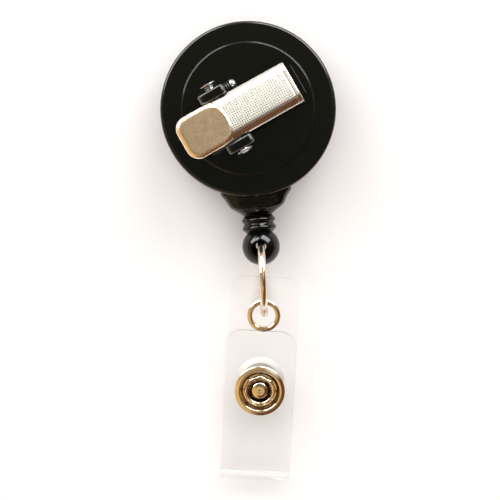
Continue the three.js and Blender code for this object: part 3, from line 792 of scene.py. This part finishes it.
def strap_sheet():
    """The whole strap cut flat, then folded: back layer, fold and flap in one sheet."""
    total = BACK_LENGTH + FOLD_LENGTH + FLAP_LENGTH
    flat = bmesh.new()
    stations = [BACK_LENGTH * i / 12 for i in range(12)]
    stations += [BACK_LENGTH + FOLD_LENGTH * i / 28 for i in range(28)]
    stations += [BACK_LENGTH + FOLD_LENGTH + FLAP_LENGTH * i / 10 for i in range(11)]
    rows = []
    for along in stations:
        corners = [(-1, -1), (1, -1), (1, 1), (-1, 1)]
        rows.append([flat.verts.new((x * STRAP_HALF, along, t * SHEET / 2)) for x, t in corners])
    for first, second in zip(rows, rows[1:]):
        skin(flat, first, second)
    flat.faces.new(rows[0])
    flat.faces.new(rows[-1])
    steps = []
    snap_back = BACK_LENGTH - SNAP_S
    snap_flap = BACK_LENGTH + FOLD_LENGTH + SNAP_S
    holes = ((BACK_LENGTH - EYELET_S, EYELET_HOLE), (snap_back, STUD_HOLE), (snap_flap, SOCKET_HOLE))
    for place, radius in holes:
        hole = revolve([(0, -1), (radius, -1), (radius, 1), (0, 1)], 64)
        steps.append(("DIFFERENCE", moved(hole, Matrix.Translation((0, place, 0)))))
    for end, way in ((0, 1), (total, -1)):
        for side in (-1, 1):
            centre = Vector((side * (STRAP_HALF - STRAP_CORNER), end + way * STRAP_CORNER))
            waste = [(side * (STRAP_HALF + 1), end - way), (side * (STRAP_HALF + 1), centre.y)]
            for i in range(17):
                angle = math.pi / 2 * i / 16
                x = centre.x + side * STRAP_CORNER * math.cos(angle)
                waste.append((x, centre.y - way * STRAP_CORNER * math.sin(angle)))
            waste.append((centre.x, end - way))
            steps.append(("DIFFERENCE", prism(waste, -1, 1)))
    sheet = combined(flat, *steps)
    for face in sheet.faces:
        at_flap_end = face.calc_center_median().y > total - STRAP_CORNER
        face.material_index = 0 if abs(face.normal.z) > 0.7 else 2 if at_flap_end else 1
    for vert in sheet.verts:
        x, along, t = vert.co
        bow = BOW_LONG * math.sin(along * 0.27) + BOW_SHORT * math.sin(along * 0.6 + x * 0.35)
        if along < BACK_LENGTH:
            vert.co = (x, BACK_LENGTH - along, -FOLD_MIDDLE - t + bow)
        elif along < BACK_LENGTH + FOLD_LENGTH:
            angle = (along - BACK_LENGTH) / FOLD_MIDDLE
            vert.co = (x, -(FOLD_MIDDLE + t) * math.sin(angle), -(FOLD_MIDDLE + t) * math.cos(angle))
        else:
            share = (along - BACK_LENGTH - FOLD_LENGTH) / FLAP_LENGTH
            x += share * (FLAP_WIDENING * x - FLAP_DRIFT)
            vert.co = (x, along - BACK_LENGTH - FOLD_LENGTH, FOLD_MIDDLE + t + bow)
    return sheet


strap = piece(
    strap_sheet(), "strap_sheet", None, [vinyl, vinyl_edge, vinyl_end],
    STRAP, ["strap_back", "strap_flap"], sharp=60, bevel=0.07,
)
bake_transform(strap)

EYELET_PLACE = STRAP @ Matrix.Translation((0, EYELET_S * MM, 0))
SNAP_PLACE = STRAP @ Matrix.Translation((0, SNAP_S * MM, 0))
BACK_TOP = SHEET - 1.65
BACK_UNDER = -1.65
FLAP_TOP = 1.65
GAP = 0.08


def eyelet():
    """The barrel through the back layer, with its rim on the upper side."""
    hole = 2.1
    rim = 3.1
    low = BACK_UNDER - 0.35
    return revolve(rounded([
        (hole, low), (hole + 0.22, low), (hole + 0.3, BACK_TOP + GAP), (rim, BACK_TOP + GAP, 0.08),
        (rim - 0.12, BACK_TOP + 0.42, 0.3), (hole, BACK_TOP + 0.6, 0.4),
    ]), 72, closed=True)


def eyelet_back():
    """The ring that the barrel is pressed over, under the back layer."""
    low = BACK_UNDER - 0.35
    return revolve(rounded([
        (2.43, low + 0.25, 0.05), (2.43, low, 0.1), (2.95, low, 0.12), (2.95, low + 0.27, 0.05),
    ]), 72, closed=True)


for mesh, name, cad_node in (
    (eyelet(), "eyelet_barrel", "strap_eyelet"), (eyelet_back(), "eyelet_ring", "eyelet_washer"),
):
    piece(mesh, name, "strap", bright_nickel, EYELET_PLACE, [cad_node])


# ---- snap ----

CAP_SHIFT = 0.75


def snap_cap():
    """The rear cap's dome, set a little off its post as in the photo."""
    seat = BACK_UNDER - GAP
    dome = revolve(rounded([
        (0, seat - 0.8), (2.2, seat - 0.76, 1.5), (4.0, seat - 0.65, 0.3), (4.5, seat - 0.5, 0.06),
        (4.44, seat - 0.44, 0.05), (3.5, seat, 0.4), (0, seat),
    ]), 72)
    post = revolve([(0, seat - 0.2), (1.1, seat - 0.2), (1.1, -0.35), (0, -0.35)], 48)
    return combined(moved(dome, Matrix.Translation((0.05, CAP_SHIFT, 0))), ("UNION", post))


PINHOLE = 0.18


def snap_stud():
    """The hollow knob on its flange, with a blind pinhole in its top."""
    seat = BACK_TOP + GAP
    hollow = [(0, 2.05), (0.9, 2.05), (1.15, 1.7), (1.15, 0.9), (1.2, seat + 0.02)]
    flange = [(3.6, seat, 0.06), (3.6, seat + 0.3, 0.12), (1.75, seat + 0.42, 0.25), (1.42, 0.1)]
    knob = [(1.3, 0.95, 0.2), (1.68, 1.4, 0.2), (1.7, 1.96, 0.3), (1.42, 2.4, 0.5), (0.85, 2.5, 0.3)]
    pinhole = [(PINHOLE + 0.02, 2.5, 0.05), (PINHOLE, 2.2, 0.03), (0, 2.2)]
    return revolve(rounded(hollow + flange + knob + pinhole), 72)


CRIMPS = 8
CRIMP_IN, CRIMP_OUT = 2.75, 3.05


def crimp(angle, radius, height):
    """The inner ring's outer wall has eight flats; everything else is round."""
    if not CRIMP_IN < radius < CRIMP_OUT:
        return 1.0
    flat = math.pi / CRIMPS
    return (math.cos(flat) / math.cos((angle % (2 * flat)) - flat)) ** 0.8


def snap_socket():
    """The outer ring, the dark channel inside it, and the crimped inner ring."""
    seat = FLAP_TOP + GAP
    return revolve(rounded([
        (2.3, seat + 0.1), (4.2, seat, 0.2), (4.6, seat + 0.3, 0.25), (4.64, seat + 0.96, 0.14),
        (4.0, seat + 1.22, 0.5), (3.68, seat + 1.17, 0.2), (3.42, seat + 0.55, 0.2), (3.06, seat + 0.3, 0.2),
        (2.98, seat + 0.34), (2.9, seat + 0.82), (2.8, seat + 0.92), (2.5, seat + 1.0, 0.2),
        (2.2, seat + 0.84, 0.15), (2.12, seat + 0.15, 0.05),
    ]), 160, closed=True, wobble=crimp)


def socket_eyelet():
    """The eyelet under the flap that holds the socket."""
    under = FLAP_TOP - SHEET - GAP
    return revolve(rounded([
        (2.35, under - 0.3, 0.1), (3.8, under - 0.3, 0.12), (3.8, under, 0.05), (2.65, under, 0.05),
        (2.65, 1.95), (2.35, 1.95),
    ]), 72, closed=True)


def darkened(mesh, inside):
    """Faces where inside(radius, height) holds take the second, dark material, the painted shade of the
    snap's hollows.
    """
    for face in mesh.faces:
        x, y, height = face.calc_center_median()
        face.material_index = 1 if inside(math.hypot(x, y), height) else 0
    return mesh


def in_knob_shade(radius, height):
    """The knob's waist, its flange and the pinhole, where shade is painted."""
    return radius > 1.4 and height < 2.0 or radius < PINHOLE + 0.01


def in_socket_shade(radius, height):
    """The socket's bore and its channel, where shade is painted."""
    return radius < 2.22 or 3.0 < radius < 3.5 and height < 2.4


nickel_with_painted_shade = [bright_nickel, dark_nickel]
for mesh, name, body, look, cad_node in (
    (snap_cap(), "snap_dome", "strap", pale_nickel, "snap_cap"),
    (darkened(snap_stud(), in_knob_shade), "snap_knob", "strap", nickel_with_painted_shade, "snap_stud"),
    (darkened(snap_socket(), in_socket_shade), "snap_ring", "flap", nickel_with_painted_shade, "snap_socket"),
    (socket_eyelet(), "snap_washer", "flap", dark_nickel, "socket_eyelet"),
):
    piece(mesh, name, body, look, SNAP_PLACE, [cad_node])


# ---- swivel clip: base ----

BASE_LOW = 0.3
BASE_TOP = 1.6
BASE_HALF = 2.95
SPINE_START = -7.0
HUB_RADIUS = 4.0
BRIDGE_HALF = 5.9
PIN_HOLE = 0.95
JAW_TOP = 2.3
JAW_START = 8.7
JAW_END = 10.5
EAR_INNER = 4.14
EAR_OUTER = 6.05
EAR_HALF = 2.65
EAR_TOP = 5.7
EAR_EDGE = 0.5
EAR_ROUND = 0.9
LUG = Matrix.Translation((-0.5, 5.15, 1.5)) @ Matrix.Rotation(math.pi / 2, 4, "Y")
LUG_RIBS = 5
LUG_PITCH = 0.4


def swivel_base():
    """The black foot: a spine with the jaw at its end, a hub over the rivet, and two ears for the pin."""
    spine = prism([
        (SPINE_START, BASE_LOW), (JAW_END - 0.35, BASE_LOW), (JAW_END, BASE_LOW + 0.35),
        (JAW_END, JAW_TOP - 0.15), (JAW_END - 0.15, JAW_TOP), (JAW_START, JAW_TOP),
        (JAW_START - 0.4, BASE_TOP), (SPINE_START, BASE_TOP),
    ], -BASE_HALF, BASE_HALF, "Y")
    hub = revolve([(0, BASE_LOW), (HUB_RADIUS, BASE_LOW), (HUB_RADIUS, BASE_TOP), (0, BASE_TOP)], 64)
    low, high = PIN_U - EAR_HALF - 0.2, PIN_U + EAR_HALF - 0.2
    ear = rounded([
        (low, BASE_LOW, 0.2), (high, BASE_LOW, 0.2), (high, EAR_TOP, EAR_ROUND), (low, EAR_TOP, EAR_ROUND),
    ])
    bridge_outline = [(low, BASE_LOW), (high, BASE_LOW), (high, BASE_TOP), (low, BASE_TOP)]
    bridge = prism(bridge_outline, -BRIDGE_HALF, BRIDGE_HALF, "Y")
    pin_hole = moved(
        revolve([(0, -10), (PIN_HOLE, -10), (PIN_HOLE, 10), (0, 10)], 32),
        Matrix.Translation((PIN_U, 0, PIN_W)) @ Matrix.Rotation(math.pi / 2, 4, "X"),
    )
    rivet_hole = revolve([(0, -1), (RIVET_HOLE, -1), (RIVET_HOLE, 4), (0, 4)], 32)
    upper_ear = rounded_bar(ear, EAR_INNER, EAR_OUTER, EAR_EDGE)
    lower_ear = rounded_bar(ear, -EAR_OUTER, -EAR_INNER, EAR_EDGE)
    mesh = combined(
        spine, ("UNION", hub), ("UNION", bridge), ("UNION", upper_ear), ("UNION", lower_ear),
        ("DIFFERENCE", pin_hole), ("DIFFERENCE", rivet_hole),
    )
    # the ears' slanted faces take the lighter grey: a painted highlight along their rounded edges
    for face in mesh.faces:
        on_ear = abs(face.calc_center_median().y) > EAR_INNER
        slanted = max(abs(value) for value in face.normal) < 0.84
        face.material_index = 1 if on_ear and slanted else 0
    return mesh


def lug():
    """A ribbed stub beside the ear."""
    outline = [(0, -2.6), (0.85, -2.6)]
    for i in range(LUG_RIBS):
        start = -2.0 + LUG_PITCH * i
        outline += [(0.95, start + 0.06), (1.0, start + 0.16), (0.95, start + 0.28), (0.82, start + 0.35)]
    outline += [(0.82, 0.0), (0, 0.0)]
    return moved(revolve(outline, 40), LUG)


def lug_end():
    """The stub's bright rounded end."""
    outline = rounded([(0, -0.1), (0.9, -0.1), (0.98, 0.3, 0.35), (0.6, 0.8, 0.6), (0, 0.9)])
    return moved(revolve(outline, 40), LUG)


piece(
    swivel_base(), "clip_base", "clip_foot", [clip_black, painted_ear_edge_highlight], CLIP, ["swivel_base"],
    sharp=40,
)
piece(lug(), "clip_lug", "clip_foot", clip_black, CLIP)
piece(lug_end(), "clip_lug_end", "clip_foot", spring_steel, CLIP)


# ---- swivel clip: lever ----

# the lever's outline and heights, then its crease, dots, groove, flanges and lip
LEVER_HALF = 4.1
PAD_EDGE = 0.95
PAD_EDGE_DROP = 0.75
LEAF_EDGE = 1.9
LEAF_EDGE_DROP = 1.05
DOTS_END = 8.45
DOTS_MARGIN = 0.9
THUMB_U = -13.5
LIP_U = 9.45
THUMB_CORNER = 2.4
LEVER_SHEET = 0.55
RIM_BEVEL = 0.09
PAD_HIGH = 6.9
PAD_SLOPE = 0.0548
CREASE_U = -4.4
LEAF_SLOPE = 0.2369
LEAF_ARCH = 0.0155
CREASE_CURVE = 0.085
STEP_LENGTH = 0.36
STEP_DROP = 0.1
GROOVE_U = 8.55
GROOVE_DEPTH = 0.06
GROOVE_WIDTH = 0.1
FLANGE = [
    (THUMB_U, 6.0), (-9.5, 5.4), (-6.6, 3.2), (-5.6, 2.8), (-2.9, 2.8), (-1.6, 3.3), (2, 3.2), (8.35, 2.2),
]
NOTCH_START = 8.4
NOTCH_END = 8.8
LIP_FOOT = 2.4
LIP_ROUND = 0.22


def along_line(points, u):
    """Height of a broken line of (u, w) points at u."""
    for (u0, w0), (u1, w1) in zip(points, points[1:]):
        if u <= u1:
            return w0 + (w1 - w0) * max(0.0, u - u0) / (u1 - u0)
    return points[-1][1]


def half_width(u):
    """The lever's half width at u; its thumb end has round corners."""
    past = THUMB_U + THUMB_CORNER - u
    if past <= 0:
        return LEVER_HALF
    return LEVER_HALF - THUMB_CORNER + math.sqrt(max(0.0, THUMB_CORNER**2 - past**2))


def edge_distance(u, v):
    """Distance in from the lever's outline; the lip isn't counted."""
    x = THUMB_U + THUMB_CORNER - u
    y = abs(v) - (LEVER_HALF - THUMB_CORNER)
    if x > 0 and y > 0:
        return THUMB_CORNER - math.hypot(x, y)
    return min(LEVER_HALF - abs(v), u - THUMB_U)


def shoulder(distance, width, drop):
    """How far a rounded edge has dropped at a distance in from the outline."""
    share = min(1.0, max(0.0, 1 - distance / width))
    return drop * (1 - math.sqrt(1 - (0.985 * share) ** 2))


def pad_height(u, v):
    """Height of the thumb pad's plane, rounded down at its edge."""
    return PAD_HIGH - PAD_SLOPE * (u - THUMB_U) - shoulder(edge_distance(u, v), PAD_EDGE, PAD_EDGE_DROP)


def leaf_height(u, v):
    """Height of the steeper, slightly arched leaf beyond the crease."""
    top = PAD_HIGH - PAD_SLOPE * (CREASE_U - THUMB_U) - LEAF_SLOPE * (u - CREASE_U) - LEAF_ARCH * v * v
    return top - shoulder(LEVER_HALF - abs(v), LEAF_EDGE, LEAF_EDGE_DROP)


def past_crease(u, v):
    """How far past the curved crease a place is."""
    return u - (CREASE_U - CREASE_CURVE * v * v)


def lever_top(u, v):
    """The pad, a small rounded step down from it to the leaf, and a groove before the lip."""
    share = max(0.0, min(1.0, past_crease(u, v) / STEP_LENGTH))
    step = STEP_DROP * share * share * (3 - 2 * share)
    groove = GROOVE_DEPTH * math.exp(-(((u - GROOVE_U) / GROOVE_WIDTH) ** 2))
    return min(pad_height(u, v), leaf_height(u, v)) - step - groove


def flange_bottom(u, v):
    """Height of the turned-down sides' lower edge, with a notch before the lip."""
    if u >= NOTCH_END:
        return LIP_FOOT
    if u > NOTCH_START and abs(v) > LEVER_HALF - 0.01:
        return leaf_height(u, v) - 0.25
    return along_line(FLANGE, u)


def lever_stations():
    """Places along u for the lever's rows, closer together where it bends."""
    stations = [THUMB_U + THUMB_CORNER * (1 - math.cos(math.pi / 2 * i / 16)) for i in range(16)]
    u = THUMB_U + THUMB_CORNER
    while u < CREASE_U - 2.8:
        stations.append(u)
        u += 0.3
    while u < CREASE_U + 0.5:
        stations.append(u)
        u += 0.07
    while u < NOTCH_START - 0.02:
        stations.append(u)
        u += 0.3
    stations += [NOTCH_START - 0.02, NOTCH_START, NOTCH_START + 0.02]
    stations += [DOTS_END + 0.04 * i for i in range(8)]
    stations += [NOTCH_END - 0.02, NOTCH_END, 8.9, 9.05, 9.2]
    for i in range(1, 7):
        stations.append(LIP_U - LIP_ROUND * (1 - math.sin(math.pi / 2 * i / 6)))
    return stations


def lever():
    """A pressed tray of one sheet: thumb pad, crease and leaf, with its sides turned down."""
    mesh = bmesh.new()
    shares = [math.sin(math.pi / 2 * (i / 32 - 1)) for i in range(65)]
    rows = []
    stations = lever_stations()
    for u in stations:
        half = half_width(u)
        row = []
        for share in shares:
            v = half * share
            w = lever_top(u, v)
            past = max(0.0, u - LIP_U + LIP_ROUND) / LIP_ROUND
            w -= LIP_ROUND * (1 - math.sqrt(max(0.0, 1 - (0.99 * past) ** 2)))
            row.append(mesh.verts.new((u, v, w)))
        rows.append(row)
    for first, second in zip(rows, rows[1:]):
        for i in range(len(shares) - 1):
            mesh.faces.new([first[i], first[i + 1], second[i + 1], second[i]])
    for face in mesh.faces:
        u, v = face.calc_center_median().xy
        on_leaf = past_crease(u, v) > STEP_LENGTH
        inner = abs(v) < LEVER_HALF - DOTS_MARGIN and u < DOTS_END
        face.material_index = 1 if past_crease(u, v) < 0 else 2 if on_leaf and inner else 0
    border = [edge for edge in mesh.edges if edge.is_boundary]
    made = bmesh.ops.extrude_edge_only(mesh, edges=border)["geom"]
    for vert in [item for item in made if isinstance(item, bmesh.types.BMVert)]:
        vert.co.z = min(vert.co.z - 0.02, flange_bottom(vert.co.x, vert.co.y))
    for face in [item for item in made if isinstance(item, bmesh.types.BMFace)]:
        face.material_index = 0
    return mesh


lever_piece = piece(
    lever(), "clip_lever_sheet", "lever", [satin_nickel, pad_nickel, leaf_nickel],
    CLIP, ["clip_lever"], sharp=75,
)
lever_piece.modifiers.clear()
thick = lever_piece.modifiers.new("sheet", "SOLIDIFY")
thick.thickness = LEVER_SHEET * MM
thick.offset = -1
thick.use_even_offset = False
rim = lever_piece.modifiers.new("rounded_edges", "BEVEL")
rim.width = RIM_BEVEL * MM
rim.segments = 2
rim.limit_method = "ANGLE"
rim.angle_limit = math.radians(60)


# ---- swivel clip: pin, rivet and spring ----


def hinge_pin():
    """The pin with a domed head at one end and a spread, grooved tail at the other."""
    head = [(0, -7.0), (0.95, -6.93, 0.8), (1.6, -6.5, 0.25), (1.6, -6.3, 0.08)]
    shaft = [(0.8, -6.3), (0.8, 6.35, 0.05), (1.0, 6.45, 0.05), (0.85, 6.6, 0.06), (0.95, 6.8, 0.1)]
    tail = [(1.5, 6.93, 0.05), (1.52, 7.12, 0.05), (0.6, 7.15), (0, 7.05)]
    outline = rounded(head + shaft + tail)
    place = Matrix.Translation((PIN_U, 0, PIN_W)) @ Matrix.Rotation(-math.pi / 2, 4, "X")
    return moved(revolve(outline, 56), place)


def rivet():
    """The swivel's rivet, from its tail inside the case to its head on the foot."""
    tail = -CASE_FLOOR - 0.8
    head = BASE_TOP + 0.1
    return revolve(rounded([
        (0, tail - 0.4), (2.2, tail - 0.4, 0.15), (2.2, tail, 0.1), (1.4, tail), (1.4, head),
        (2.4, head, 0.05), (2.3, head + 0.35, 0.25), (1.2, head + 0.58, 0.8), (0, head + 0.6),
    ]), 56)


def coil_spring():
    """Four turns round the pin, one arm down to the foot and one up under the thumb pad."""
    turns = 4
    per_turn = 12
    radius = 1.35
    pitch = 0.62
    wire = 0.22
    start = -turns * pitch / 2
    points = [(PIN_U - 2.5, start, PIN_W - 1.95)]
    for i in range(turns * per_turn):
        angle = -math.pi / 2 + 2 * math.pi * i / per_turn
        v = start + pitch * i / per_turn
        points.append((PIN_U + radius * math.cos(angle), v, PIN_W + radius * math.sin(angle)))
    points += [(PIN_U - 2.4, -start, PIN_W + 0.6), (PIN_U - 5.2, -start, PIN_W + 1.6)]
    return tube(smooth_route(points, 5), wire, 10)


piece(hinge_pin(), "clip_pin", "clip_foot", spring_steel, CLIP, ["hinge_pin"])
piece(rivet(), "clip_rivet", "clip_foot", bright_nickel, CLIP, ["swivel_rivet"])
coil = piece(coil_spring(), "torsion_spring", None, spring_steel, CLIP, ["clip_spring"])
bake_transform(coil)


# ---- inner pieces kept from the frame ----

kept = {
    "spool": acetal, "power_spring": spring_steel, "cord_winding": cord_black, "cord_anchor_knot": cord_black,
    "cord_end_knot": cord_black, "rivet_washer": spring_steel, "socket_spring": dark_nickel,
}
for name, look in kept.items():
    slots = frame["nodes"][name].material_slots
    for index in range(len(slots)):
        slots[index].material = look


# ---- floor and light ----


KEY = (0.93, 0.97, 1.0)
FILL = (1.0, 0.915, 0.868)
FLOOR_HALF = 9
PANE_SIZE = (0.68, 0.36)
PANE_GLOW = 4.1
PANE_SHINE = 12


def floor():
    """A plain pale floor under the case."""
    mesh = bmesh.new()
    bmesh.ops.create_grid(mesh, x_segments=1, y_segments=1, size=FLOOR_HALF)
    data = bpy.data.meshes.new("floor")
    mesh.to_mesh(data)
    mesh.free()
    material, tree, bsdf = shader("floor_white", (0.9, 0.895, 0.89), 0.6, Specular_IOR_Level=0.0)
    bump(tree, bsdf, noise(tree, 1.0, 2), 0.01)
    data.materials.append(material)
    obj = bpy.data.objects.new("floor", data)
    bpy.context.scene.collection.objects.link(obj)


def window_pane(name, place, size, color, glow, shine):
    """A pane aimed at the origin: radiance glow lights matt surfaces, radiance shine shows in reflections."""
    for kind, radiance in (("glow", glow), ("shine", shine)):
        if not radiance:
            continue
        data = bpy.data.lights.new(f"{name}_{kind}", "AREA")
        data.shape = "RECTANGLE"
        data.size, data.size_y = size
        data.energy = radiance * math.pi * size[0] * size[1]
        data.color = color
        obj = bpy.data.objects.new(data.name, data)
        bpy.context.scene.collection.objects.link(obj)
        obj.location = place
        obj.rotation_euler = (-Vector(place)).to_track_quat("-Z", "Y").to_euler()
        obj.visible_camera = False
        obj.visible_glossy = kind == "shine"
        obj.visible_diffuse = kind == "glow"
        data.cycles.use_multiple_importance_sampling = kind == "shine"


# soft patches of the room, each over the ones before: colour, direction, inner and outer degrees
ROOM = [
    ((1.25, 1.3, 1.36), (0, 0.9, 0.4), 13, 25),
    ((0.9, 0.9, 0.86), (0.48, 0.18, 0.86), 10, 20),
    ((0.85, 0.55, 0.22), (-0.6, -0.5, 0.6), 15, 42),
    ((0.145, 0.062, 0.028), (0.65, -0.62, 0.45), 32, 56),
    ((0.17, 0.075, 0.042), (0.2, -0.85, 0.5), 20, 34),
    ((0.74, 0.52, 0.26), (0, -0.42, 0.9), 9, 15),
    ((0.2, 0.18, 0.12), (0, -0.1, 1), 11, 22),
    ((0.11, 0.115, 0.085), (0, 0, 1), 1.5, 6),
]


def surroundings():
    """A room that lights nothing matt: pale behind the case, tan in front, dark straight above."""
    world = bpy.data.worlds.new("room")
    bpy.context.scene.world = world
    world.use_nodes = True
    world.cycles_visibility.diffuse = False
    tree = world.node_tree
    way = node(tree, "TexCoord").outputs["Generated"]

    def lobe(direction, inner, outer):
        """1 within inner degrees of a direction, 0 beyond outer degrees."""
        aim = Vector(direction).normalized()
        dot = node(tree, "VectorMath", {0: way, 1: aim}, operation="DOT_PRODUCT")
        ranged = node(
            tree, "MapRange",
            {
                "Value": dot.outputs["Value"],
                "From Min": math.cos(math.radians(outer)), "From Max": math.cos(math.radians(inner)),
            },
            interpolation_type="SMOOTHSTEP",
        )
        return ranged.outputs["Result"]

    sky = (0.5, 0.37, 0.22)
    for color, direction, inner, outer in ROOM:
        sky = mix(tree, lobe(direction, inner, outer), sky, color)
    background = tree.nodes["Background"]
    tree.links.new(sky, background.inputs["Color"])
    background.inputs["Strength"].default_value = 1.0


floor()
window_pane("left_pane", (-0.42, 0.5, 0.4), PANE_SIZE, KEY, PANE_GLOW, PANE_SHINE)
window_pane("right_pane", (0.38, 0.5, 0.4), PANE_SIZE, KEY, PANE_GLOW, PANE_SHINE)
window_pane("ceiling", (0, 0, 2.4), (6, 6), FILL, 1.3, 0)
surroundings()
bpy.context.scene.view_settings.view_transform = "Standard"
bpy.context.scene.cycles.transparent_max_bounces = 32
